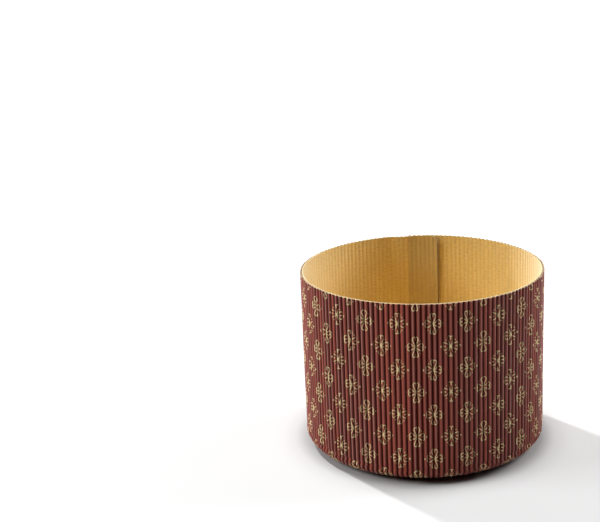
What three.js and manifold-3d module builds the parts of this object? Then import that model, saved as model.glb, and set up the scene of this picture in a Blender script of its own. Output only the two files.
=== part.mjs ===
// Paper baking mould for a tall sweet bread: an open round cup of single-face corrugated paper.
// One strip of fluted paper on a flat liner is rolled into a wall, lapped on itself at the back,
// and turned in at the foot. The turned-in hem is glued on a round base of the same board.
// Millimetres, +Z up. The origin is the centre of the base where it stands, and -Y is the front.
import * as THREE from "three";
import { mergeVertices } from "three/addons/utils/BufferGeometryUtils.js";
import Module from "manifold-3d";

// Overall sizes
const OUTER_RADIUS = 77; // over the flute crests
const WALL_HEIGHT = 112; // from the underside of the hem to the rim

// The board: a fluted paper glued by its valleys to a flat liner
const FLUTE_PITCH = 3.14; // wanted spacing of the crests, rounded to a whole number a turn
const FLUTE_DEPTH = 1.25; // crest to valley
const CREST_FLAT = 1.1; // width of the flat top of a crest
const FLUTED_PAPER = 0.2;
const LINER_PAPER = 0.2;
const GLUE_LINE = 0.05; // between a valley and the liner, and between the hem and the base

// The lap, where the strip's outer end covers its inner end
const LAP_START_DEG = 80.3; // where the inner free end stands, from +X towards the back
const LAP_LENGTH = 22;
const LAP_GAP = 0.15; // between the two layers
const LAP_RAMP = 13; // length over which the inner layer moves out again, past the lap
const END_CORNER = 7; // rounded top corner of the inner free end
const END_RISE = 0.8; // how far that end stands above the rest of the rim
const RISE_LENGTH = 20; // length over which it comes level again

// The hem: a quarter of an ellipse in section, and a flat flange inside it
const HEM_HEIGHT = 7;
const HEM_DEPTH = 13;
const FLANGE_WIDTH = 10;
const PINCHED_DEPTH = 1.4; // the flutes stand deeper where the turn gathers them
const CRUSHED_DEPTH = 0.5; // and are pressed nearly flat on the flange

// The base
const BASE_MARGIN = 3; // how far the base reaches out past the flange, under the hem
const VENT_RADIUS = 1.75;
const VENT_COUNT = 6;
const VENT_CIRCLE = 34;

// Facets
const HEM_STEPS = 2;
const BASE_SIDES = 72;
const VENT_SIDES = 8;

const BROWN_PRINT = { color: 0x5c2a26, roughness: 0.55, metalness: 0.0 };
const GOLDEN_KRAFT = { color: 0xc9993f, roughness: 0.7, metalness: 0.0 };

const wasm = await Module();
wasm.setup();

// What follows from the sizes
const linerTop = FLUTE_DEPTH + FLUTED_PAPER + GLUE_LINE; // depths are below the crests
const boardDepth = linerTop + LINER_PAPER;
const layerDepth = boardDepth + LAP_GAP;
const turnFlutes = Math.round((2 * Math.PI * OUTER_RADIUS) / FLUTE_PITCH);
const pitch = (2 * Math.PI * OUTER_RADIUS) / turnFlutes;
const lapFlutes = Math.round(LAP_LENGTH / pitch);
const rampFlutes = Math.round(LAP_RAMP / pitch);
const stripFlutes = turnFlutes + lapFlutes;
const lapStart = THREE.MathUtils.degToRad(LAP_START_DEG);
const flangeRadius = OUTER_RADIUS - HEM_DEPTH;
const baseRadius = flangeRadius + BASE_MARGIN;
const hemUnderside = boardDepth + GLUE_LINE; // the base board lies below it

// 1 along the inner layer of the lap and 0 on the round wall, with a smooth ramp between them.
function layerShare(along) {
  const ramp = (along - (lapFlutes + 1) * pitch) / (rampFlutes * pitch);
  return 1 - THREE.MathUtils.smoothstep(ramp, 0, 1);
}

// A point of the rolled strip, seen from above: its distance along the strip from the inner free
// end, and its depth below the crests of its own layer.
function planPoint(along, depth) {
  const radius = OUTER_RADIUS - layerShare(along) * layerDepth - depth;
  const angle = lapStart + along / OUTER_RADIUS;
  return new THREE.Vector2(radius * Math.cos(angle), radius * Math.sin(angle));
}

// The fluted paper's section: flat-topped crests and narrow valleys. The outer face runs along the
// sheet and the inner face comes back, a paper's thickness deeper.
function fluteSection(start, count, place) {
  const outer = [place(start, FLUTE_DEPTH)];
  const inner = [place(start, FLUTE_DEPTH + FLUTED_PAPER)];
  for (let i = 0; i < count; i++) {
    const crest = start + (i + 0.5) * pitch;
    const valley = start + (i + 1) * pitch;
    outer.push(place(crest - CREST_FLAT / 2, 0), place(crest + CREST_FLAT / 2, 0));
    outer.push(place(valley, FLUTE_DEPTH));
    inner.push(place(crest, FLUTED_PAPER), place(valley, FLUTE_DEPTH + FLUTED_PAPER));
  }
  return new THREE.Shape([...outer, ...inner.reverse()]);
}

// The liner's section. It follows the crests too at the rounded corner, has a point at each valley
// as far as the ramp's end, and at every other valley on the round wall.
function linerSection() {
  const stops = [];
  for (let i = 0; i < stripFlutes; i++) {
    const ramped = i < lapFlutes + rampFlutes + 2;
    if (ramped || i % 2 === 0) stops.push(i * pitch);
    if (i * pitch < END_CORNER) {
      stops.push((i + 0.5) * pitch - CREST_FLAT / 2, (i + 0.5) * pitch + CREST_FLAT / 2);
    }
  }
  stops.push(stripFlutes * pitch);
  const outer = stops.map((along) => planPoint(along, linerTop));
  const inner = stops.map((along) => planPoint(along, boardDepth));
  return new THREE.Shape([...outer, ...inner.reverse()]);
}

// Where the crests run, from the flange's inner edge up to the rim: radius and height, the turn of
// their outward normal from level towards straight down, and how deep the flutes are there.
function wallStations() {
  const inner = { radius: flangeRadius - FLANGE_WIDTH, z: hemUnderside };
  const stations = [{ ...inner, turn: Math.PI / 2, fluteDepth: CRUSHED_DEPTH }];
  for (let i = HEM_STEPS; i >= 0; i--) {
    const t = ((i / HEM_STEPS) * Math.PI) / 2;
    const depths = { 0: FLUTE_DEPTH, [HEM_STEPS]: CRUSHED_DEPTH };
    stations.push({
      radius: OUTER_RADIUS - HEM_DEPTH * (1 - Math.cos(t)),
      z: hemUnderside + HEM_HEIGHT * (1 - Math.sin(t)),
      turn: Math.atan2(HEM_DEPTH * Math.sin(t), HEM_HEIGHT * Math.cos(t)),
      fluteDepth: depths[i] ?? PINCHED_DEPTH,
    });
  }
  const z = hemUnderside + WALL_HEIGHT;
  stations.push({ radius: OUTER_RADIUS, z, turn: 0, fluteDepth: FLUTE_DEPTH });
  return stations;
}

// A depth of the plan once the flutes are pinched or crushed to another depth. Only the height
// between crest and valley changes, in the outer layer and in the lap's inner one.
function pressed(depth, fluteDepth) {
  const outer = THREE.MathUtils.inverseLerp(FLUTED_PAPER, FLUTE_DEPTH, depth);
  const inner = THREE.MathUtils.inverseLerp(FLUTED_PAPER, FLUTE_DEPTH, depth - layerDepth);
  const share = THREE.MathUtils.clamp(outer, 0, 1) + THREE.MathUtils.clamp(inner, 0, 1);
  return depth + share * (fluteDepth - FLUTE_DEPTH);
}

// How far the rim lies above its level height, at a distance along the lap's inner layer.
function endRise(along) {
  const short = THREE.MathUtils.clamp(END_CORNER - along, 0, END_CORNER);
  const corner = END_CORNER - Math.sqrt(END_CORNER ** 2 - short ** 2);
  return END_RISE * Math.max(0, 1 - along / RISE_LENGTH) - corner;
}

// Extrudes a plan section up the wall, one step from each station to the next, and brings each
// step's points to the station's radius, height and turn.
function rolledStrip(section) {
  const stations = wallStations();
  const steps = stations.length - 1;
  const geometry = new THREE.ExtrudeGeometry(section, { depth: steps, steps, bevelEnabled: false });
  const points = geometry.getAttribute("position");
  const point = new THREE.Vector3();
  for (let i = 0; i < points.count; i++) {
    point.fromBufferAttribute(points, i);
    const row = Math.round(point.z);
    const station = stations[row];
    const angle = Math.atan2(point.y, point.x);
    const planDepth = OUTER_RADIUS - Math.hypot(point.x, point.y);
    const depth = pressed(planDepth, station.fluteDepth);
    const radius = station.radius - depth * Math.cos(station.turn);
    let z = station.z + depth * Math.sin(station.turn);
    const onInnerLayer = planDepth > boardDepth + LAP_GAP / 2;
    if (row === steps && onInnerLayer) z += endRise((angle - lapStart) * OUTER_RADIUS);
    points.setXYZ(i, radius * Math.cos(angle), radius * Math.sin(angle), z);
  }
  geometry.computeVertexNormals();
  return geometry;
}

function toSolid(geometry) {
  geometry.deleteAttribute("normal");
  geometry.deleteAttribute("uv");
  const merged = mergeVertices(geometry);
  const mesh = new wasm.Mesh({
    numProp: 3,
    vertProperties: new Float32Array(merged.getAttribute("position").array),
    triVerts: new Uint32Array(merged.index.array),
  });
  return new wasm.Manifold(mesh);
}

function toGeometry(solid) {
  const { vertProperties, triVerts } = solid.getMesh();
  const geometry = new THREE.BufferGeometry();
  geometry.setAttribute("position", new THREE.BufferAttribute(vertProperties, 3));
  geometry.setIndex(new THREE.BufferAttribute(triVerts, 1));
  geometry.computeVertexNormals();
  return geometry;
}

// An upright round between two heights.
function upright(radius, low, high, sides) {
  const geometry = new THREE.CylinderGeometry(radius, radius, high - low, sides);
  geometry.rotateX(Math.PI / 2);
  geometry.translate(0, 0, (low + high) / 2);
  return geometry;
}

// The solid cut to the base's round, with the steam vents through it.
function cutToBase(solid) {
  const through = boardDepth + 1;
  let cut = solid.intersect(toSolid(upright(baseRadius, -1, through, BASE_SIDES)));
  for (let i = 0; i < VENT_COUNT; i++) {
    const angle = ((i + 0.5) / VENT_COUNT) * 2 * Math.PI;
    const vent = upright(VENT_RADIUS, -1, through, VENT_SIDES);
    vent.translate(VENT_CIRCLE * Math.cos(angle), VENT_CIRCLE * Math.sin(angle), 0);
    cut = cut.subtract(toSolid(vent));
  }
  return toGeometry(cut);
}

// The base board lies liner up, so its flutes stand on their crests. They run from front to back,
// and a crest lies on the middle line.
function baseFluting() {
  const count = 2 * Math.ceil(baseRadius / pitch) + 1;
  const length = 2 * baseRadius + 2;
  const section = fluteSection((-count * pitch) / 2, count, (x, depth) => new THREE.Vector2(x, depth));
  const sheet = new THREE.ExtrudeGeometry(section, { depth: length, steps: 1, bevelEnabled: false });
  sheet.translate(0, 0, -length / 2);
  sheet.rotateX(Math.PI / 2);
  return cutToBase(toSolid(sheet));
}

function baseLiner() {
  const sheet = new THREE.BoxGeometry(2 * baseRadius + 2, 2 * baseRadius + 2, LINER_PAPER);
  sheet.translate(0, 0, linerTop + LINER_PAPER / 2);
  return cutToBase(toSolid(sheet));
}

function piece(name, geometry, look) {
  const mesh = new THREE.Mesh(geometry, new THREE.MeshStandardMaterial(look));
  mesh.name = name;
  return mesh;
}

const mould = new THREE.Group();
mould.add(
  piece("wall_fluting", rolledStrip(fluteSection(0, stripFlutes, planPoint)), BROWN_PRINT),
  piece("wall_liner", rolledStrip(linerSection()), GOLDEN_KRAFT),
  piece("base_fluting", baseFluting(), BROWN_PRINT),
  piece("base_liner", baseLiner(), GOLDEN_KRAFT),
);

export default mould;
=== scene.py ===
# %% [markdown]
# # A round paper mold for baking
# The mold is made from one strip of single-face corrugated paper: a printed sheet, pressed into
# flutes, is glued on a smooth golden sheet. The strip is rolled into a wall, lapped on itself at
# the back and turned in at the foot, where it is glued on a round base. The CAD solids have that
# construction with few faces. This script keeps their sizes and makes the fine surface: rounded
# flutes, the crumpled hem, the ink and the fibres of the paper.

# %% Load the frame
import math

import bpy
from mathutils import Matrix, Vector


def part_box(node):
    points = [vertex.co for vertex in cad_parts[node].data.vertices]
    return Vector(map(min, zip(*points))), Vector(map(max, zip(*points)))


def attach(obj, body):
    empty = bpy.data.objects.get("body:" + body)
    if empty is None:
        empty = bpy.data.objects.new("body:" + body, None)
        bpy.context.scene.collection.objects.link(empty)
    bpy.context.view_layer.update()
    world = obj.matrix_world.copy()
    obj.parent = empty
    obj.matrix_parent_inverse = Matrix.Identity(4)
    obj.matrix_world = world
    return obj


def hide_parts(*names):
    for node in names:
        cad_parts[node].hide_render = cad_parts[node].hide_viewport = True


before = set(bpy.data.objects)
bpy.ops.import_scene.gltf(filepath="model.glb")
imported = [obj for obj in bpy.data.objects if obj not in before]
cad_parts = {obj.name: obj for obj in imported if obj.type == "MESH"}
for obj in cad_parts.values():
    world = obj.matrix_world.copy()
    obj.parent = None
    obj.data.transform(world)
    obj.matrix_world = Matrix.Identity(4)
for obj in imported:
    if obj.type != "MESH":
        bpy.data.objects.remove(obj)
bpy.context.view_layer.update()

# %% [markdown]
# The sizes come from the frame where it has them: the wall's box gives the radius over the flutes
# and the height at which the hem lies on the base. The board's own thin sizes are written here,
# and everything else is worked out from them, so that each new surface lies where its solid does.

# %% Sizes
MM = 0.001
wall_low, wall_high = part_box("wall_fluting")
OUTER_RADIUS = (wall_high[0] - wall_low[0]) / 2
HEM_UNDERSIDE = wall_low[2]
WALL_HEIGHT = 112 * MM
FLUTES_PER_TURN = 154
PITCH = 2 * math.pi * OUTER_RADIUS / FLUTES_PER_TURN

FLUTE_DEPTH = 1.25 * MM
PAPER = 0.2 * MM
GLUE_LINE = 0.05 * MM
LINER_DEPTH = PAPER + GLUE_LINE
LAP_GAP = 0.15 * MM

LAP_START = math.radians(80.3)
LAP_FLUTES = 7
RAMP_FLUTES = 4
STRIP_FLUTES = FLUTES_PER_TURN + LAP_FLUTES

HEM_HEIGHT = 7 * MM
HEM_DEPTH = 13 * MM
FLANGE_WIDTH = 10 * MM
print("flute pitch in mm:", round(PITCH / MM, 3), "flutes in the strip:", STRIP_FLUTES)

# %% [markdown]
# Shapes and patterns here are formulas, and a formula in nodes is a long row of Math nodes. This
# small class writes them: adding, subtracting, multiplying or dividing two of its numbers places a
# Math node and links it, so that a formula can be read as one.


# %% Formulas as nodes
class Number:
    """A number in a node tree. A sum written with it becomes Math nodes."""

    def __init__(self, tree, socket):
        self.tree = tree
        self.socket = socket

    def __add__(self, other):
        return calculate("ADD", self, other)

    def __radd__(self, other):
        return calculate("ADD", other, self)

    def __sub__(self, other):
        return calculate("SUBTRACT", self, other)

    def __rsub__(self, other):
        return calculate("SUBTRACT", other, self)

    def __mul__(self, other):
        return calculate("MULTIPLY", self, other)

    def __rmul__(self, other):
        return calculate("MULTIPLY", other, self)

    def __truediv__(self, other):
        return calculate("DIVIDE", self, other)


def feed(tree, socket, value):
    """Links a number, a socket or a plain value to an input socket."""
    if isinstance(value, Number):
        tree.links.new(value.socket, socket)
    elif isinstance(value, bpy.types.NodeSocket):
        tree.links.new(value, socket)
    else:
        socket.default_value = value


def calculate(operation, *values):
    """A Math node on these values, at least one of them a Number."""
    tree = next(value.tree for value in values if isinstance(value, Number))
    node = tree.nodes.new("ShaderNodeMath")
    node.operation = operation
    for socket, value in zip(node.inputs, values):
        feed(tree, socket, value)
    return Number(tree, node.outputs[0])


print("made:", [thing.__name__ for thing in (Number, feed, calculate)])

# %% [markdown]
# A formula also needs a few nodes that aren't plain sums. Each helper here places one of them and
# gives its result back as a Number, or as Numbers, so that a formula can go on with it.


# %% Helpers for single nodes
def cosine(angle):
    return calculate("COSINE", angle)


def sine(angle):
    return calculate("SINE", angle)


def between(value, start, end, low, high, smooth=False):
    """The value taken from start..end to low..high, and held at both ends."""
    node = value.tree.nodes.new("ShaderNodeMapRange")
    node.interpolation_type = "SMOOTHSTEP" if smooth else "LINEAR"
    for socket, number in zip(node.inputs, (value, start, end, low, high)):
        feed(value.tree, socket, number)
    return Number(value.tree, node.outputs[0])


def split(tree, vector):
    """The X, Y and Z of a vector."""
    node = tree.nodes.new("ShaderNodeSeparateXYZ")
    feed(tree, node.inputs[0], vector)
    return [Number(tree, socket) for socket in node.outputs]


def join(tree, x, y, z):
    """A vector from its X, Y and Z."""
    node = tree.nodes.new("ShaderNodeCombineXYZ")
    for socket, number in zip(node.inputs, (x, y, z)):
        feed(tree, socket, number)
    return node.outputs[0]


def length_of(x, y):
    return calculate("SQRT", x * x + y * y)


def noise(tree, vector, scale, detail=2.0, roughness=0.5):
    """A soft random number from 0 to 1 over a vector."""
    node = tree.nodes.new("ShaderNodeTexNoise")
    feed(tree, node.inputs["Vector"], vector)
    feed(tree, node.inputs["Scale"], scale)
    node.inputs["Detail"].default_value = detail
    node.inputs["Roughness"].default_value = roughness
    return Number(tree, node.outputs["Fac"])


def random_step(tree, value):
    """A random number from 0 to 1 for each whole step of a value. The step is its seed."""
    node = tree.nodes.new("ShaderNodeTexWhiteNoise")
    node.noise_dimensions = "1D"
    feed(tree, node.inputs["W"], value)
    return Number(tree, node.outputs["Value"])


node_helpers = (cosine, sine, between, split, join, length_of, noise, random_step)
print("made:", [helper.__name__ for helper in node_helpers])

# %% [markdown]
# Both plies of the wall are the same strip, so one Geometry Nodes tree makes both. It starts from a
# flat grid with its columns along the strip and its rows from the rim down to the flange, and moves
# every point of it. A row says where on the profile a point lies: on the straight wall, round the
# hem's quarter of an ellipse, or on the flat flange. A column says where it lies on a flute.
#
# An array of one flute would be quicker, but the flutes have to change along their length: they
# are gathered where the strip turns under, and pressed flat where it is glued.

# %% The wall's profile, from a row
WALL_ROWS = 8
CREASE_ROWS = 6
HEM_ROWS = 10
FLANGE_ROWS = 2
HEM_START = WALL_ROWS + CREASE_ROWS
HEM_END = HEM_START + HEM_ROWS
ALL_ROWS = HEM_END + FLANGE_ROWS
CREASE_ZONE = 6 * MM
QUARTER_TURN = math.pi / 2
PRESS_START = math.radians(15)
PRESS_END = math.radians(60)
CRUSHED_DEPTH = 0.5 * MM
print("rows from the rim to the flange's edge:", ALL_ROWS)


def profile(row):
    """Radius, height, turn of the outward normal, flute depth, bend and length of paper, at a row."""
    bend = between(row, HEM_START, HEM_END, 0, QUARTER_TURN)
    flange_share = between(row, HEM_END, ALL_ROWS, 0, 1)

    drop = between(row, 0, WALL_ROWS, 0, WALL_HEIGHT - HEM_HEIGHT - CREASE_ZONE)
    drop = drop + between(row, WALL_ROWS, HEM_START, 0, CREASE_ZONE)
    radius = OUTER_RADIUS - (1 - cosine(bend)) * HEM_DEPTH - flange_share * FLANGE_WIDTH
    height = HEM_UNDERSIDE + WALL_HEIGHT - drop - sine(bend) * HEM_HEIGHT
    turn = calculate("ARCTAN2", sine(bend) * HEM_DEPTH, cosine(bend) * HEM_HEIGHT)

    pressed = between(bend, PRESS_START, PRESS_END, 0, FLUTE_DEPTH - CRUSHED_DEPTH, smooth=True)
    flute_depth = FLUTE_DEPTH - pressed
    hem_length = QUARTER_TURN * math.sqrt((HEM_HEIGHT**2 + HEM_DEPTH**2) / 2)
    paper = drop + bend * (hem_length / QUARTER_TURN) + flange_share * FLANGE_WIDTH
    return radius, height, turn, flute_depth, bend, paper


# %% [markdown]
# The flutes are a wave along the strip, 0 in a valley and 1 on a crest. A plain cosine is too thin
# at the top, so a power below one broadens the crests, as the rollers of the corrugating machine
# do. Every crest is a little lower or higher than the next, and where the strip was creased to
# turn it under, each is dented by a different amount, at a slightly different height.

# %% Flutes, from a column
CREST_BREADTH = 0.72
CREST_UNEVEN = 0.22
DENT_LEAST = 0.35
DENT_SPREAD = 0.45
DENT_ROWS_UP = 1.6
DENT_REACH = 1.5
DENT_SEED = 0.5
print("dents in share of a flute's depth:", DENT_LEAST, "to", DENT_LEAST + DENT_SPREAD)


def flute_wave(along):
    phase = along / PITCH
    return calculate("POWER", 0.5 - cosine(phase * (2 * math.pi)) * 0.5, CREST_BREADTH)


def crest_height(tree, along):
    """How high each crest stands, as a share of the flute's depth."""
    return 1 - random_step(tree, calculate("FLOOR", along / PITCH)) * CREST_UNEVEN


def crease_dent(tree, along, row):
    """How far a crest is dented in the crease above the hem, as a share of the flute's depth."""
    chance = random_step(tree, calculate("FLOOR", along / PITCH) + DENT_SEED)
    strength = chance * DENT_SPREAD + DENT_LEAST
    middle = HEM_START - DENT_ROWS_UP + strength * DENT_ROWS_UP
    away = calculate("ABSOLUTE", row - middle)
    return between(away, 0, DENT_REACH, 1, 0, smooth=True) * strength


# %% [markdown]
# The strip's inner end lies one board deeper than the rest, under the lap, and comes out to the
# full radius over a few flutes. Its top corner is cut round, and its rim stands a little higher.

# %% Lap and end corner, from a column
END_CORNER = 7 * MM
END_RISE = 0.8 * MM
RISE_LENGTH = 20 * MM
LAP_LENGTH = LAP_FLUTES * PITCH
print("length of the lap in mm:", round(LAP_LENGTH / MM, 2))


def layer_share(along):
    """1 along the lap's inner layer, 0 on the round wall."""
    ramp_start = (LAP_FLUTES + 1) * PITCH
    return between(along, ramp_start, ramp_start + RAMP_FLUTES * PITCH, 1, 0, smooth=True)


def rim_shift(along, row):
    """How far the cut rim lies above its level height. Only the top row moves."""
    short = between(along, 0, END_CORNER, END_CORNER, 0)
    corner = END_CORNER - calculate("SQRT", END_CORNER**2 - short * short)
    rise = between(along, 0, RISE_LENGTH, END_RISE, 0)
    return (rise - corner) * between(row, 0, 1, 1, 0)


# %% [markdown]
# Hand work shows in a mold: the wall isn't quite round, and where the flutes are gathered in the
# hem they lean to either side. It could be sculpted, but then each change of a size would undo it.
# Here both come from noise that is read at a place on the wall, so the two plies move together.
# The hem also bulges more at one side, where the strip was turned in less.

# %% Hand work
WOBBLE = 0.35 * MM
WOBBLE_SCALE = 1.6
LEAN = 1.5 * MM
LEAN_SCALE = 0.28 / MM
FULLNESS = 1.3 * MM
FULL_SIDE = math.radians(215)
print("out of round by up to, in mm:", round(WOBBLE / MM, 2))
print("hem fuller by up to, in mm:", round(FULLNESS / MM, 2))


def handwork(tree, angle, height, bend):
    """A small radial shift, a sideways lean, and a hem that is fuller at one side."""
    place = join(tree, cosine(angle), sine(angle), height / OUTER_RADIUS)
    wobble = (noise(tree, place, WOBBLE_SCALE) - 0.5) * (2 * WOBBLE) * cosine(bend)
    finer = join(tree, cosine(angle) * OUTER_RADIUS, sine(angle) * OUTER_RADIUS, 0.0)
    lean = (noise(tree, finer, LEAN_SCALE) - 0.5) * sine(bend) * LEAN
    fuller = sine(bend * 2) * (cosine(angle - FULL_SIDE) * 0.5 + 0.5) * FULLNESS
    return wobble, lean, fuller


# %% [markdown]
# Every tree here has named inputs for its sizes, so that one tree can make more than one ply. A
# ply's tree starts from a flat grid, whose X and Y become places on the paper.

# %% Helpers that start a tree
PLY_SIZES = {
    "Points per Flute": 10,
    "Fluted": 1.0,
    "Below Valley": 0.0,
    "Washboard": 0.0,
    "Take-up": 1.0,
}
print("inputs of a ply's tree:", list(PLY_SIZES))


def new_tree(name, sizes, geometry_in=None):
    """A Geometry Nodes tree with a named input for each size, given back as Numbers."""
    tree = bpy.data.node_groups.new(name, "GeometryNodeTree")
    tree.interface.new_socket("Mesh", in_out="OUTPUT", socket_type="NodeSocketGeometry")
    if geometry_in:
        tree.interface.new_socket(geometry_in, in_out="INPUT", socket_type="NodeSocketGeometry")
    for size, value in sizes.items():
        kind = "NodeSocketInt" if isinstance(value, int) else "NodeSocketFloat"
        tree.interface.new_socket(size, in_out="INPUT", socket_type=kind).default_value = value
    tree.interface.new_socket("Material", in_out="INPUT", socket_type="NodeSocketMaterial")
    entry = tree.nodes.new("NodeGroupInput")
    return tree, entry, {size: Number(tree, entry.outputs[size]) for size in sizes}


def flat_grid(tree, length, width, columns, rows):
    """A flat grid with these points each way, and the X and Y of its points."""
    grid = tree.nodes.new("GeometryNodeMeshGrid")
    for socket, value in zip(grid.inputs, (length, width, columns, rows)):
        feed(tree, socket, value)
    x, y, _ = split(tree, tree.nodes.new("GeometryNodeInputPosition").outputs[0])
    return grid.outputs["Mesh"], x, y


# %% [markdown]
# A ply's tree keeps three things on the mesh for the materials: the place on the paper as a UV map,
# the height on a flute, and whether the strip is doubled there. Every tree gives real geometry with
# its material, because instances would be lost when the model is exported.


# %% Helpers that finish a tree
def store(tree, mesh, name, kind, domain, value):
    """Keeps a value on the mesh under a name, for the materials to read."""
    node = tree.nodes.new("GeometryNodeStoreNamedAttribute")
    node.data_type = kind
    node.domain = domain
    feed(tree, node.inputs["Geometry"], mesh)
    node.inputs["Name"].default_value = name
    feed(tree, node.inputs["Value"], value)
    return node.outputs["Geometry"]


def store_for_materials(tree, mesh, printed, doubled, crest):
    """Keeps the place on the paper, the doubled strip and the height on a flute."""
    mesh = store(tree, mesh, "UVMap", "FLOAT2", "CORNER", printed)
    mesh = store(tree, mesh, "doubled", "FLOAT", "POINT", doubled)
    return store(tree, mesh, "crest", "FLOAT", "POINT", crest)


def move_points(tree, mesh, place):
    node = tree.nodes.new("GeometryNodeSetPosition")
    feed(tree, node.inputs["Geometry"], mesh)
    feed(tree, node.inputs["Position"], place)
    return node.outputs["Geometry"]


def real_with_material(tree, entry, mesh):
    """Smooth, real geometry with the tree's material."""
    for kind in ("GeometryNodeRealizeInstances", "GeometryNodeSetShadeSmooth", "GeometryNodeSetMaterial"):
        node = tree.nodes.new(kind)
        feed(tree, node.inputs["Geometry"], mesh)
        mesh = node.outputs["Geometry"]
    feed(tree, node.inputs["Material"], entry.outputs["Material"])
    return mesh


def put_out(tree, mesh):
    """Makes this mesh the tree's result."""
    feed(tree, tree.nodes.new("NodeGroupOutput").inputs[0], mesh)


finish_helpers = (store, store_for_materials, move_points, real_with_material, put_out)
print("made:", [helper.__name__ for helper in finish_helpers])

# %% [markdown]
# Now the strip itself. The depth of a point is counted inwards from the crests: how far it lies
# down its flute, then one board more under the lap. The profile's normal turns that depth into a
# move, so the flutes stay square to the paper round the hem.
#
# The ink was printed before the sheet was fluted, so the UV map measures along the bent paper. A
# fluted sheet is longer than its strip by the take-up, and most of the extra length is on the
# flanks, which a sine at twice the flutes' rate gives closely enough.

# %% The tree that rolls a ply
LAP_EDGE = 0.4 * MM


def depth_of(tree, sizes, along, row, flute_depth):
    """How deep a point lies below the crests, and how high it is on its flute."""
    wave = flute_wave(along)
    crest = wave * crest_height(tree, along)
    fluted = (crest - wave * crease_dent(tree, along, row)) * sizes["Fluted"]
    depth = flute_depth * (1 - fluted) + sizes["Below Valley"] + wave * sizes["Washboard"]
    return depth + layer_share(along) * (flute_depth + (LINER_DEPTH + PAPER + LAP_GAP)), crest


def place_on_paper(tree, take_up, along, down):
    """The place on the flat printed sheet, in millimetres."""
    flank = (1 - take_up) * (PITCH / (4 * math.pi)) * sine(along * (4 * math.pi / PITCH))
    return join(tree, (along * take_up + flank) / MM, down / MM, 0.0)


def rolled_ply_tree():
    tree, entry, sizes = new_tree("rolled ply", PLY_SIZES)
    length = STRIP_FLUTES * PITCH
    columns = sizes["Points per Flute"] * STRIP_FLUTES + 1
    mesh, x, y = flat_grid(tree, length, 1.0, columns, ALL_ROWS + 1)
    along = x + length / 2
    row = calculate("ROUND", (0.5 - y) * ALL_ROWS)

    radius, height, turn, flute_depth, bend, paper = profile(row)
    depth, crest = depth_of(tree, sizes, along, row, flute_depth)
    shift = rim_shift(along, row)
    printed = place_on_paper(tree, sizes["Take-up"], along, shift - paper)
    doubled = between(along, LAP_LENGTH - LAP_EDGE, LAP_LENGTH + LAP_EDGE, 1, 0)
    mesh = store_for_materials(tree, mesh, printed, doubled, crest)

    angle = LAP_START + along / OUTER_RADIUS
    wobble, lean, fuller = handwork(tree, angle, height, bend)
    depth = depth - fuller
    angle = angle + lean / OUTER_RADIUS
    reach = radius - depth * cosine(turn) + wobble
    upward = height + depth * sine(turn) + shift
    mesh = move_points(tree, mesh, join(tree, reach * cosine(angle), reach * sine(angle), upward))
    put_out(tree, real_with_material(tree, entry, mesh))
    return tree


rolled_ply = rolled_ply_tree()
print("nodes in the rolled ply tree:", len(rolled_ply.nodes))

# %% [markdown]
# The base is a round of the same board, so its flutes are straight. The grid's Y runs from -1 to 1
# and is a share of the chord of the circle at its column, which makes the sheet round with no
# boolean. The grid is a hair narrower than the circle, so that no chord is nothing.

# %% The tree that makes a flat ply of the base
base_low, base_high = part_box("base_liner")
BASE_RADIUS = (base_high[0] - base_low[0]) / 2
BASE_TRIM = 0.05 * MM
BASE_ROWS = 14
BASE_FLUTES = 2 * math.floor(BASE_RADIUS / PITCH)


def base_ply_tree():
    tree, entry, sizes = new_tree("base ply", PLY_SIZES)
    width = 2 * (BASE_RADIUS - BASE_TRIM)
    columns = sizes["Points per Flute"] * BASE_FLUTES + 1
    mesh, x, y = flat_grid(tree, width, 2.0, columns, BASE_ROWS + 1)
    chord = calculate("SQRT", BASE_RADIUS**2 - x * x)

    wave = flute_wave(x + PITCH / 2)
    fluted = wave * crest_height(tree, x + PITCH / 2) * sizes["Fluted"]
    depth = FLUTE_DEPTH * (1 - fluted) + sizes["Below Valley"] + wave * sizes["Washboard"]
    printed = join(tree, (x + width) * sizes["Take-up"] / MM, y * chord / MM, 0.0)
    mesh = store_for_materials(tree, mesh, printed, 1.0, wave)
    mesh = move_points(tree, mesh, join(tree, x, y * chord * -1.0, depth))
    put_out(tree, real_with_material(tree, entry, mesh))
    return tree


base_ply = base_ply_tree()
print("flutes across the base:", BASE_FLUTES)

# %% [markdown]
# Steam leaves through small round vents in the base. A hole can't follow the rows and columns of a
# grid, so a Mesh Boolean node pierces the finished ply, with one short cylinder instanced on each
# point of a circle. The cylinders bring the material of cut paper to the edge of each hole. The
# Manifold solver keeps the pierced ply closed, which the Exact one didn't here.

# %% The tree that pierces a ply
VENT_SIZES = {"Vents": 6, "Vent Radius": 1.75 * MM, "Circle Radius": 34 * MM}
VENT_SIDES = 24
CUTTER_LENGTH = 10 * MM
HALF_STEP = math.pi / VENT_SIZES["Vents"]


def vent_cutters(tree, sizes):
    """A cylinder on each point of a circle, turned by half a step as the solids' vents are."""
    circle = tree.nodes.new("GeometryNodeMeshCircle")
    feed(tree, circle.inputs["Vertices"], sizes["Vents"])
    feed(tree, circle.inputs["Radius"], sizes["Circle Radius"])
    cylinder = tree.nodes.new("GeometryNodeMeshCylinder")
    feed(tree, cylinder.inputs["Vertices"], VENT_SIDES)
    feed(tree, cylinder.inputs["Radius"], sizes["Vent Radius"])
    feed(tree, cylinder.inputs["Depth"], CUTTER_LENGTH)
    instances = tree.nodes.new("GeometryNodeInstanceOnPoints")
    feed(tree, instances.inputs["Points"], circle.outputs["Mesh"])
    feed(tree, instances.inputs["Instance"], cylinder.outputs["Mesh"])
    turned = tree.nodes.new("GeometryNodeTransform")
    feed(tree, turned.inputs["Geometry"], instances.outputs["Instances"])
    turned.inputs["Rotation"].default_value = (0.0, 0.0, HALF_STEP)
    return turned.outputs["Geometry"]


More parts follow.
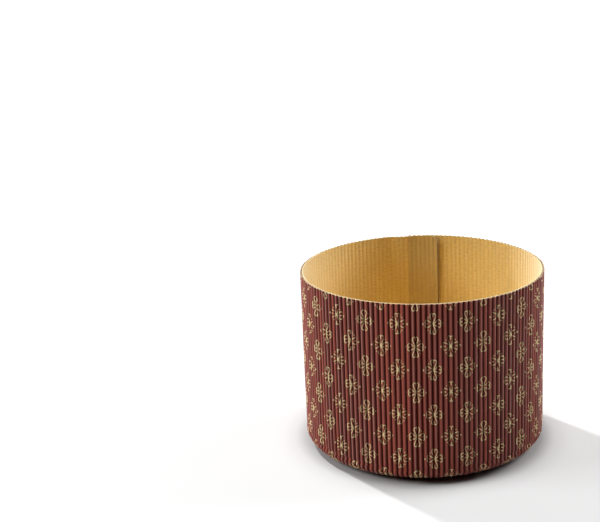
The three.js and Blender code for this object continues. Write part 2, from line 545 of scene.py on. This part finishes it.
def vent_tree():
    tree, entry, sizes = new_tree("steam vents", VENT_SIZES, geometry_in="Ply")
    pierce = tree.nodes.new("GeometryNodeMeshBoolean")
    pierce.operation = "DIFFERENCE"
    pierce.solver = "MANIFOLD"
    feed(tree, pierce.inputs["Mesh 1"], entry.outputs["Ply"])
    feed(tree, pierce.inputs["Mesh 2"], real_with_material(tree, entry, vent_cutters(tree, sizes)))
    put_out(tree, pierce.outputs["Mesh"])
    return tree


steam_vents = vent_tree()
print("vents in the base:", VENT_SIZES["Vents"])

# %% [markdown]
# Paper is a felt of fibres. A picture of paper would repeat along the strip, which noise doesn't.
# So one shader node group makes the fibres of every paper here from three noises: soft clouds where
# the felt is thicker, fine specks, and long threads that lie along the sheet. It puts out a cloud
# value for the colour and a height for the bump.

# %% Paper fibres
CLOUD_SCALE = 0.12
SPECK_SCALE = 2.4
THREAD_SCALE = 1.5
THREAD_STRETCH = 0.22
THREAD_SHARE = 0.55


def fibre_group():
    tree = bpy.data.node_groups.new("paper fibres", "ShaderNodeTree")
    tree.interface.new_socket("Vector", in_out="INPUT", socket_type="NodeSocketVector")
    tree.interface.new_socket("Grain", in_out="INPUT", socket_type="NodeSocketFloat")
    tree.interface.new_socket("Clouds", in_out="OUTPUT", socket_type="NodeSocketFloat")
    tree.interface.new_socket("Height", in_out="OUTPUT", socket_type="NodeSocketFloat")
    entry = tree.nodes.new("NodeGroupInput")
    vector = entry.outputs["Vector"]
    grain = Number(tree, entry.outputs["Grain"])
    u, v, w = split(tree, vector)
    stretched = join(tree, u * THREAD_STRETCH, v, w)
    clouds = noise(tree, vector, CLOUD_SCALE, detail=4.0, roughness=0.6)
    specks = noise(tree, vector, grain * SPECK_SCALE, detail=3.0, roughness=0.7)
    threads = noise(tree, stretched, grain * THREAD_SCALE, detail=3.0, roughness=0.65)
    result = tree.nodes.new("NodeGroupOutput")
    feed(tree, result.inputs["Clouds"], clouds)
    feed(tree, result.inputs["Height"], specks * (1 - THREAD_SHARE) + threads * THREAD_SHARE)
    return tree


paper_fibres = fibre_group()
print("nodes in the paper fibres:", len(paper_fibres.nodes))

# %% [markdown]
# The print is a common diaper ornament: small rosettes in a diamond lattice. A painted picture
# could carry it, but a formula stays sharp in close views. It is worked out in millimetres of flat
# paper. A diamond lattice is a square one turned by an eighth, so the place is turned, wrapped to
# one cell and turned back, and one rosette then serves all.

# %% The lattice of the print
ROSETTE_SPACING = 28.1
CELL = ROSETTE_SPACING / math.sqrt(2)
TAKE_UP = 1.37
FIRST_ROSETTE = (261.3 * TAKE_UP, -11.8)
ROW_STRETCH = 1.008
FLAT_TURN = 2 * math.pi * OUTER_RADIUS / MM * TAKE_UP
print("rosettes across a turn:", round(FLAT_TURN / ROSETTE_SPACING, 2))


def wrapped(value, cell):
    """The distance from the middle of the cell that a value falls in."""
    return calculate("FLOORED_MODULO", value + cell / 2, cell) - cell / 2


def place_in_rosette(u, v):
    """The place from the middle of the nearest rosette."""
    u = u - FIRST_ROSETTE[0]
    v = (v - FIRST_ROSETTE[1]) / ROW_STRETCH
    half = math.sqrt(0.5)
    across = wrapped((u + v) * half, CELL)
    upward = wrapped((v - u) * half, CELL)
    return (across - upward) * half, (across + upward) * half


# %% [markdown]
# A rosette has four hearts that meet at their points, which makes eight equal halves. Folding the
# place onto one of them, with the longer of its two coordinates first, leaves half a heart to
# draw: the outline of a cone with round ends, a stroke in from the notch, a bead on the diagonal,
# a dot in the middle, and a lone dot at each side.

# %% The rosette print
LOBE = (4.8, 1.0, 1.3)
POINT = (1.0, 0.0, 0.5)
OUTLINE = 0.31
STROKE = (4.3, 5.6)
STROKE_WIDTH = 0.3
BEAD_PLACE = 3.8
BEAD = 0.36
MIDDLE_DOT = 0.75
SIDE_DOT_PLACE = 7.9
SIDE_DOT = 0.55
INK_EDGE = 0.12


def disc_mask(distance, size):
    """1 inside a size, 0 outside it, with a soft edge."""
    return between(distance, size - INK_EDGE, size + INK_EDGE, 1, 0, smooth=True)


def heart_outline(long, short):
    """The outline of a cone from the heart's point to its lobe. Each is a place and a radius."""
    run, rise, swell = (lobe - point for lobe, point in zip(LOBE, POINT))
    share = ((long - POINT[0]) * run + (short - POINT[1]) * rise) / (run**2 + rise**2)
    share = between(share, 0, 1, 0, 1)
    off = length_of(long - POINT[0] - share * run, short - POINT[1] - share * rise)
    return disc_mask(calculate("ABSOLUTE", off - share * swell - POINT[2]), OUTLINE)


def rosette_group():
    tree = bpy.data.node_groups.new("rosette print", "ShaderNodeTree")
    tree.interface.new_socket("Vector", in_out="INPUT", socket_type="NodeSocketVector")
    tree.interface.new_socket("Ink", in_out="OUTPUT", socket_type="NodeSocketFloat")
    u, v, _ = split(tree, tree.nodes.new("NodeGroupInput").outputs["Vector"])
    x, y = place_in_rosette(u, v)
    folded_x = calculate("ABSOLUTE", x)
    folded_y = calculate("ABSOLUTE", y)
    long = calculate("MAXIMUM", folded_x, folded_y)
    short = calculate("MINIMUM", folded_x, folded_y)

    nearest = between(long, STROKE[0], STROKE[1], STROKE[0], STROKE[1])
    stroke = disc_mask(length_of(long - nearest, short), STROKE_WIDTH)
    bead = disc_mask(length_of(long - BEAD_PLACE, short - BEAD_PLACE), BEAD)
    middle = disc_mask(length_of(x, y), MIDDLE_DOT)
    side_dot = disc_mask(length_of(folded_x - SIDE_DOT_PLACE, y), SIDE_DOT)
    ink = heart_outline(long, short)
    for mark in (stroke, bead, middle, side_dot):
        ink = calculate("MAXIMUM", ink, mark)
    feed(tree, tree.nodes.new("NodeGroupOutput").inputs["Ink"], ink)
    return tree


rosette_print = rosette_group()
print("nodes in the rosette print:", len(rosette_print.nodes))

# %% [markdown]
# Colours are written as screen values from 0 to 255. Most come in pairs, a darker and a lighter
# tone, because paper and ink are never one flat colour: the clouds of the felt mix the two.

# %% Colours
# Painted shade: the dark ink of the grooves.
SHADED_GROOVE_INK = ((52, 8, 4), (66, 14, 7))
RIDGE_INK = ((118, 42, 27), (168, 78, 60))
# Painted highlight: the pale tone along the crest tops.
PAINTED_CREST_HIGHLIGHT = (194, 138, 126)
# Painted shade: the dark gold of the grooves.
SHADED_GROOVE_GOLD = (84, 54, 22)
RIDGE_GOLD = ((226, 196, 130), (252, 234, 182))
INK_BLOOM = (242, 220, 220)
# Painted shade: the brown of the back of the print, in the hollows of the flute cells.
CELL_SHADE_BROWN = ((92, 44, 32), (120, 66, 48))
GOLDEN = ((216, 183, 92), (232, 207, 124))
# Painted shade: the olive where the strip is doubled.
OLIVE = ((180, 158, 84), (196, 174, 104))
FIBRE_LINE = (172, 114, 34)
# Painted shadow: the dark line at the lap's free end.
END_SHADOW = (84, 50, 16)
KRAFT_BLOOM = (255, 250, 235)
PALE_CORE = ((236, 214, 164), (250, 234, 196))


def linear(value):
    """Blender's linear share of a screen value."""
    share = value / 255
    return share / 12.92 if share <= 0.04045 else ((share + 0.055) / 1.055) ** 2.4


def srgb(colour):
    """The colour of three screen values, as Blender's linear colour."""
    return tuple(linear(value) for value in colour) + (1.0,)


# The pale crest tone is a painted highlight.
print("worn ink as a linear colour:", [round(value, 3) for value in srgb(PAINTED_CREST_HIGHLIGHT)])

# %% [markdown]
# Every paper's material has the same parts: the place on the flat sheet from the piece's own UV
# map, the fibres from their group, a mix of tones, and a bump. These helpers place the first three.


# %% Helpers for a paper's colour
def new_material(name):
    """A material with its Principled shader and the piece's own UV map, in millimetres."""
    material = bpy.data.materials.new(name)
    material.use_nodes = True
    tree = material.node_tree
    place = tree.nodes.new("ShaderNodeUVMap")
    place.uv_map = "UVMap"
    return material, tree, tree.nodes["Principled BSDF"], place.outputs[0]


def group_node(tree, group, vector):
    node = tree.nodes.new("ShaderNodeGroup")
    node.node_tree = group
    feed(tree, node.inputs["Vector"], vector)
    return node


def fibres_at(tree, place, grain):
    """The clouds and the height of a paper's fibres."""
    node = group_node(tree, paper_fibres, place)
    node.inputs["Grain"].default_value = grain
    return Number(tree, node.outputs["Clouds"]), Number(tree, node.outputs["Height"])


def mix_colours(tree, factor, first, second):
    """Mixes by socket place, because a Mix node has one A and B for each kind of data."""
    node = tree.nodes.new("ShaderNodeMix")
    node.data_type = "RGBA"
    feed(tree, node.inputs[0], factor)
    feed(tree, node.inputs[6], first)
    feed(tree, node.inputs[7], second)
    return node.outputs[2]


def mix_tones(tree, factor, tones):
    """A colour between a darker and a lighter tone."""
    darker, lighter = tones
    return mix_colours(tree, factor, srgb(darker), srgb(lighter))


def attribute(tree, name):
    node = tree.nodes.new("ShaderNodeAttribute")
    node.attribute_name = name
    return Number(tree, node.outputs["Fac"])


colour_helpers = (new_material, group_node, fibres_at, mix_colours, mix_tones, attribute)
print("made:", [helper.__name__ for helper in colour_helpers])

# %% [markdown]
# The bump raises the fibres by a small part of a millimetre. The bloom is a sheen, which pales the
# paper where it turns away from the eye, as loose fibres do. It is the same all over a paper, so it
# is set on the shader's own sockets, where the export can read it.


# %% Helpers for bump and bloom
def give_bump(tree, shader, height, depth):
    node = tree.nodes.new("ShaderNodeBump")
    node.inputs["Strength"].default_value = 1.0
    node.inputs["Distance"].default_value = depth
    feed(tree, node.inputs["Height"], height)
    feed(tree, shader.inputs["Normal"], node.outputs["Normal"])


def give_sheen(shader, weight, roughness, tint):
    shader.inputs["Sheen Weight"].default_value = weight
    shader.inputs["Sheen Roughness"].default_value = roughness
    shader.inputs["Sheen Tint"].default_value = srgb(tint)


print("made:", [helper.__name__ for helper in (give_bump, give_sheen)])

# %% [markdown]
# The outer paper is brown ink on kraft with gold on top. The grooves are painted darker as shade,
# and the gold in them too. On the crests the ink keeps its own tone, which differs from flute to
# flute, and a pale painted highlight runs along the very top. The crests alone have the soft gloss
# of ink, as a coat.

# %% The printed paper
# Heights on a flute over which the painted shade of the grooves gives way to the crest's tone.
RIDGE_FROM, RIDGE_FULL = 0.05, 0.75
# Heights on a flute where the painted highlight along the crest tops starts and is full.
HIGHLIGHT_FROM, HIGHLIGHT_FULL = 0.74, 0.96
STRONGEST_HIGHLIGHT = 0.45
INK_COAT = 0.45
INK_ROUGHNESS = 0.42
CLOUD_ROUGHNESS = 0.1


def flute_tone(tree, place):
    """A random number for each flute, from its place in the print."""
    along = split(tree, place)[0]
    return random_step(tree, calculate("FLOOR", along / (PITCH / MM * TAKE_UP)))


def printed_paper():
    material, tree, shader, place = new_material("printed_paper")
    clouds, relief = fibres_at(tree, place, grain=1.0)
    ink = Number(tree, group_node(tree, rosette_print, place).outputs["Ink"])
    crest = attribute(tree, "crest")
    # Painted shade towards the valleys of each flute, on the brown ink and on the gold.
    ridge_share = between(crest, RIDGE_FROM, RIDGE_FULL, 0, 1, smooth=True)
    # A painted highlight along the very top of each crest.
    painted_highlight = between(crest, HIGHLIGHT_FROM, HIGHLIGHT_FULL, 0, STRONGEST_HIGHLIGHT, smooth=True)

    groove = mix_tones(tree, clouds, SHADED_GROOVE_INK)
    ridge = mix_tones(tree, flute_tone(tree, place), RIDGE_INK)
    ridge = mix_colours(tree, painted_highlight, ridge, srgb(PAINTED_CREST_HIGHLIGHT))
    brown = mix_colours(tree, ridge_share, groove, ridge)
    gold = mix_colours(tree, ridge_share, srgb(SHADED_GROOVE_GOLD), mix_tones(tree, clouds, RIDGE_GOLD))
    feed(tree, shader.inputs["Base Color"], mix_colours(tree, ink, brown, gold))

    give_sheen(shader, weight=0.25, roughness=0.4, tint=INK_BLOOM)
    feed(tree, shader.inputs["Roughness"], INK_ROUGHNESS + clouds * CLOUD_ROUGHNESS)
    shader.inputs["Specular IOR Level"].default_value = 0.05
    feed(tree, shader.inputs["Coat Weight"], ridge_share * INK_COAT)
    shader.inputs["Coat Roughness"].default_value = 0.22
    give_bump(tree, shader, relief, depth=0.04 * MM)
    return material


PRINTED_PAPER = printed_paper()
print("nodes in the printed paper:", len(PRINTED_PAPER.node_tree.nodes))

# %% [markdown]
# The inner paper is bare golden kraft, quite matt, with darker threads in it. Glue shows through
# along the valleys in soft patches. Where the strip is doubled, at the lap and on the base, less
# light would come through, so the paper there is painted olive as shade. The free end is darkened
# along its cut as the painted shadow of the lap's step.

# %% The golden kraft
OLIVE_SHARE = 0.9
GLUE_LINE_EDGE = 0.6
CLOUD_LOW, CLOUD_HIGH = 0.3, 0.7
GLUE_LEAST, GLUE_MOST = 0.08, 0.28
THREAD_LOW, THREAD_HIGH = 0.38, 0.62
THREAD_DARKNESS = 0.5
# The painted shadow of the lap's step, along the free end's cut.
END_SHADOW_FROM, END_SHADOW_TO = 0.5, 1.3
END_SHADOW_DARKNESS = 0.85


def golden_kraft():
    material, tree, shader, place = new_material("golden_kraft")
    clouds, threads = fibres_at(tree, place, grain=0.8)
    golden = mix_tones(tree, clouds, GOLDEN)
    olive = mix_tones(tree, clouds, OLIVE)
    # Painted shade: olive where the strip is doubled, for the light that comes through it less.
    paper = mix_colours(tree, attribute(tree, "doubled") * OLIVE_SHARE, golden, olive)

    valley = between(attribute(tree, "crest"), 0.0, GLUE_LINE_EDGE, 1, 0)
    glue = valley * between(clouds, CLOUD_LOW, CLOUD_HIGH, GLUE_LEAST, GLUE_MOST)
    lines = between(threads, THREAD_LOW, THREAD_HIGH, 0, THREAD_DARKNESS) + glue
    paper = mix_colours(tree, lines, paper, srgb(FIBRE_LINE))
    # A painted shadow along the free end's cut, where the lap steps down.
    from_end = split(tree, place)[0]
    end_shadow = between(from_end, END_SHADOW_FROM, END_SHADOW_TO, END_SHADOW_DARKNESS, 0, smooth=True)
    feed(tree, shader.inputs["Base Color"], mix_colours(tree, end_shadow, paper, srgb(END_SHADOW)))

    give_sheen(shader, weight=1.0, roughness=0.5, tint=KRAFT_BLOOM)
    shader.inputs["Roughness"].default_value = 0.55
    give_bump(tree, shader, threads, depth=0.12 * MM)
    return material


GOLDEN_KRAFT = golden_kraft()
print("nodes in the golden kraft:", len(GOLDEN_KRAFT.node_tree.nodes))

# %% [markdown]
# Two plainer papers finish the sheets. The back of the printed sheet lines the hollows of the flute
# cells, so it is painted a dark brown there as shade. Wherever the board was cut, the paper's pale
# core shows as a thin line along the edge.


# %% The back of the print, and the cut edge
def plain_paper(name, tones, grain, roughness):
    """A paper with no print, in two tones."""
    material, tree, shader, place = new_material(name)
    clouds, relief = fibres_at(tree, place, grain)
    feed(tree, shader.inputs["Base Color"], mix_tones(tree, clouds, tones))
    shader.inputs["Roughness"].default_value = roughness
    give_bump(tree, shader, relief, depth=0.05 * MM)
    return material


CUT_PAPER = plain_paper("cut_paper", PALE_CORE, grain=1.6, roughness=0.8)
# Painted shade: the back lines the hollows of the flute cells, so it is a dark brown.
SHADED_BACK = plain_paper("shaded_back", CELL_SHADE_BROWN, grain=1.0, roughness=0.75)
print("papers:", [paper.name for paper in (PRINTED_PAPER, GOLDEN_KRAFT, CUT_PAPER, SHADED_BACK)])

# %% [markdown]
# Each ply is made in two steps, and the result of each is turned into a plain mesh, so that no
# modifier is left on the piece. First the tree gives the sheet's outer face.


# %% From a tree to a plain sheet
def evaluated_copy(obj):
    """A plain mesh of the object with its modifiers applied."""
    graph = bpy.context.evaluated_depsgraph_get()
    return bpy.data.meshes.new_from_object(obj.evaluated_get(graph))


def new_object(name, mesh):
    obj = bpy.data.objects.new(name, mesh)
    bpy.context.scene.collection.objects.link(obj)
    return obj


def add_tree(obj, tree, values):
    """Puts a tree on an object, with its inputs set by their identifiers."""
    modifier = obj.modifiers.new(tree.name, "NODES")
    modifier.node_group = tree
    for socket in tree.interface.items_tree:
        if socket.in_out == "INPUT" and socket.name in values:
            modifier[socket.identifier] = values[socket.name]


def sheet_from_tree(name, tree, values):
    """The object that a tree makes, as a plain mesh."""
    obj = new_object(name, bpy.data.meshes.new(name + "_start"))
    add_tree(obj, tree, values)
    mesh = evaluated_copy(obj)
    obj.modifiers.clear()
    obj.data = mesh
    mesh.name = name
    return obj


sheet_helpers = (evaluated_copy, new_object, add_tree, sheet_from_tree)
print("made:", [helper.__name__ for helper in sheet_helpers])

# %% [markdown]
# Then the sheet gets the thickness of paper. The tree could extrude its faces, but a Solidify
# modifier also closes the edges, and gives the back and the cut edges materials of their own. The
# sheet's own paper is in its last slot, and the modifier counts the other two from there. The
# base's plies are pierced in the same go. Shading is smooth, except over an edge as sharp as a cut.

# %% Make a ply
SHARP_ANGLE = math.radians(70)
print("thickness of a ply in mm:", round(PAPER / MM, 2))


def give_thickness(obj, back, edge, pierced):
    """Thickens the sheet on its back, pierces it or not, and turns the result into a plain mesh."""
    papers = obj.data.materials
    front_slot = len(papers) - 1
    for paper in (back, edge):
        if paper.name not in papers:
            papers.append(paper)
    solidify = obj.modifiers.new("paper", "SOLIDIFY")
    solidify.thickness = PAPER
    solidify.offset = -1.0
    solidify.material_offset = papers.find(back.name) - front_slot
    solidify.material_offset_rim = papers.find(edge.name) - front_slot
    if pierced:
        add_tree(obj, steam_vents, {**VENT_SIZES, "Material": edge})
    mesh = evaluated_copy(obj)
    obj.modifiers.clear()
    obj.data = mesh
    mesh.set_sharp_from_angle(angle=SHARP_ANGLE)


def make_ply(name, tree, papers, node, slot, **changes):
    """One ply of the mold, in place of its CAD solid."""
    front, back, edge = papers
    obj = sheet_from_tree(name, tree, {**PLY_SIZES, **changes, "Material": front})
    give_thickness(obj, back, edge, pierced=tree == base_ply)
    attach(obj, "root")
    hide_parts(node)
    triangles = sum(len(face.vertices) - 2 for face in obj.data.polygons)
    print(name, "triangles:", triangles, "size in mm:", [round(side / MM, 2) for side in obj.dimensions])


# %% [markdown]
# The wall's two plies differ only in what the tree is told. The printed one is fluted and drawn
# with more points. The golden one is smooth and lies below the valleys, and the flutes show
# through it as a faint washboard.

# %% The wall's two plies
flutes = {"Fluted": 1.0, "Take-up": TAKE_UP, "Points per Flute": 11}
lining = {"Fluted": 0.0, "Below Valley": LINER_DEPTH, "Washboard": 0.18 * MM, "Points per Flute": 6}
brown_sheet = (PRINTED_PAPER, SHADED_BACK, CUT_PAPER)
golden_sheet = (GOLDEN_KRAFT, GOLDEN_KRAFT, CUT_PAPER)
make_ply("printed_flutes", rolled_ply, brown_sheet, "wall_fluting", "wall_print", **flutes)
make_ply("golden_lining", rolled_ply, golden_sheet, "wall_liner", "wall_inside", **lining)

# %% [markdown]
# The base is cut from the same board, so it takes the same papers and the same numbers, with its
# flutes underneath. The mold stands on them.

# %% The base's two plies
make_ply("base_flutes", base_ply, brown_sheet, "base_fluting", "base_flutes", **flutes)
make_ply("base_lining", base_ply, golden_sheet, "base_liner", "base_inside", **lining)

# %% [markdown]
# The floor is a pale sheet with no gloss, kept on the dark side so that little light comes back up
# from it. To the camera alone it glows: faintly from the mold's foot on, which keeps the shadow a
# pale grey and leaves the gap under the hem dark, and up to white farther off, where the soft
# lights fade, so that it runs on into the background.

# %% The floor
FLOOR_SIZE = 8.0
FLOOR_DROP = 0.03 * MM
FLOOR_WHITE = 0.44
NEAR_GLOW = 0.16
NEAR_START, NEAR_END = 0.076, 0.086
FAR_START, FAR_END = 0.3, 0.7
WHITE = (1.0, 1.0, 1.0, 1.0)


def camera_ray(tree):
    """1 for what the camera sees directly, 0 for light that bounces."""
    return Number(tree, tree.nodes.new("ShaderNodeLightPath").outputs["Is Camera Ray"])


def pale_floor():
    material = bpy.data.materials.new("pale_floor")
    material.use_nodes = True
    tree = material.node_tree
    shader = tree.nodes["Principled BSDF"]
    x, y, _ = split(tree, tree.nodes.new("ShaderNodeTexCoord").outputs["Object"])
    distance = length_of(x, y)
    near = between(distance, NEAR_START, NEAR_END, 0, NEAR_GLOW, smooth=True)
    far = between(distance, FAR_START, FAR_END, 0, 1 - NEAR_GLOW, smooth=True)
    feed(tree, shader.inputs["Emission Strength"], (near + far) * camera_ray(tree))
    shader.inputs["Emission Color"].default_value = WHITE
    shader.inputs["Base Color"].default_value = (FLOOR_WHITE, FLOOR_WHITE, FLOOR_WHITE, 1.0)
    shader.inputs["Roughness"].default_value = 1.0
    shader.inputs["Specular IOR Level"].default_value = 0.0
    return material


corners = [(-1, -1), (1, -1), (1, 1), (-1, 1)]
floor_points = [(x * FLOOR_SIZE / 2, y * FLOOR_SIZE / 2, -FLOOR_DROP) for x, y in corners]
floor_mesh = bpy.data.meshes.new("floor")
floor_mesh.from_pydata(floor_points, [], [(0, 1, 2, 3)])
floor_mesh.materials.append(pale_floor())
floor = new_object("floor", floor_mesh)
print("floor in metres:", FLOOR_SIZE, "square")

# %% [markdown]
# The key light comes from behind on the left, high up and fairly small, and throws the shadow to
# the right and forward. A light overhead fills that shadow, and leaves the overhang of the hem
# dark. Two broad lights at the sides graze the flutes and draw their crests.


# %% Lights
def add_lamp(name, kind, energy, toward):
    """A lamp that shines along a direction."""
    data = bpy.data.lights.new(name, kind)
    data.energy = energy
    lamp = new_object(name, data)
    lamp.rotation_mode = "QUATERNION"
    lamp.rotation_quaternion = toward.to_track_quat("-Z", "Y")
    return lamp


def sun(name, direction, strength, angle):
    """A sun shining along a direction."""
    lamp = add_lamp(name, "SUN", strength, Vector(direction))
    lamp.data.angle = math.radians(angle)


def softbox(name, place, size, power):
    """A square soft light at a place, turned to the middle of the mold."""
    lamp = add_lamp(name, "AREA", power, Vector((0, 0, WALL_HEIGHT / 2)) - Vector(place))
    lamp.data.size = size
    lamp.location = place


sun("key", direction=(0.62, -0.66, -0.95), strength=2.9, angle=3.0)
softbox("overhead", place=(0.0, 0.0, 1.3), size=0.25, power=11.0)
softbox("left", place=(-1.1, -0.22, 0.75), size=0.6, power=12.5)
softbox("right", place=(0.95, 0.4, 0.7), size=0.6, power=14.0)
print("lamps:", [lamp.name for lamp in bpy.data.lights])

# %% [markdown]
# The surroundings are bright behind the mold and dark in front of it, so that the grooves of the
# flutes stay dark. A picture of a studio could light it too, but a gradient between two levels is
# easier to set. The camera sees it as plain white.

# %% The surroundings
BRIGHT_BEHIND = 0.3
DARK_IN_FRONT = 0.0
FRONT_EDGE, BACK_EDGE = -0.5, 0.7
world = bpy.data.worlds.new("surroundings")
bpy.context.scene.world = world
world.use_nodes = True
tree = world.node_tree
direction = tree.nodes.new("ShaderNodeTexCoord").outputs["Generated"]
toward_back = split(tree, direction)[1]
studio = between(toward_back, FRONT_EDGE, BACK_EDGE, DARK_IN_FRONT, BRIGHT_BEHIND, smooth=True)
background = tree.nodes["Background"]
background.inputs["Color"].default_value = WHITE
feed(tree, background.inputs["Strength"], calculate("MAXIMUM", studio, camera_ray(tree)))
bpy.context.scene.view_settings.view_transform = "Standard"
print("surroundings from", DARK_IN_FRONT, "in front to", BRIGHT_BEHIND, "behind")

# %% [markdown]
# The camera stands where the photograph was taken from. Its place was found by matching the rim's
# ellipse, the wall's sides and the hem. The mold isn't in the middle of the picture, so the camera
# looks past it, which a lens shift would spoil in other views.

# %% Camera
LENS = 68.34
DISTANCE = 727.5 * MM
ELEVATION = math.radians(16.657)
PAN = math.radians(-6.052)
TILT = math.radians(0.360)
ROLL = math.radians(-2.693)

rim_centre = Vector((0, 0, HEM_UNDERSIDE + WALL_HEIGHT))
back = Vector((0, -math.cos(ELEVATION), math.sin(ELEVATION)))
level_right = Vector((1, 0, 0))
level_up = level_right.cross(-back)
forward = (-back + level_right * math.tan(PAN) + level_up * math.tan(TILT)).normalized()
side = forward.cross(Vector((0, 0, 1))).normalized()
up = side.cross(forward)
turned_side = side * math.cos(ROLL) + up * math.sin(ROLL)
turned_up = up * math.cos(ROLL) - side * math.sin(ROLL)

camera_data = bpy.data.cameras.new("camera")
camera_data.lens = LENS
camera = new_object("camera", camera_data)
camera.location = rim_centre + back * DISTANCE
camera.rotation_mode = "QUATERNION"
camera.rotation_quaternion = Matrix((turned_side, turned_up, -forward)).transposed().to_quaternion()
bpy.context.scene.camera = camera
print("camera in metres:", [round(value, 3) for value in camera.location])
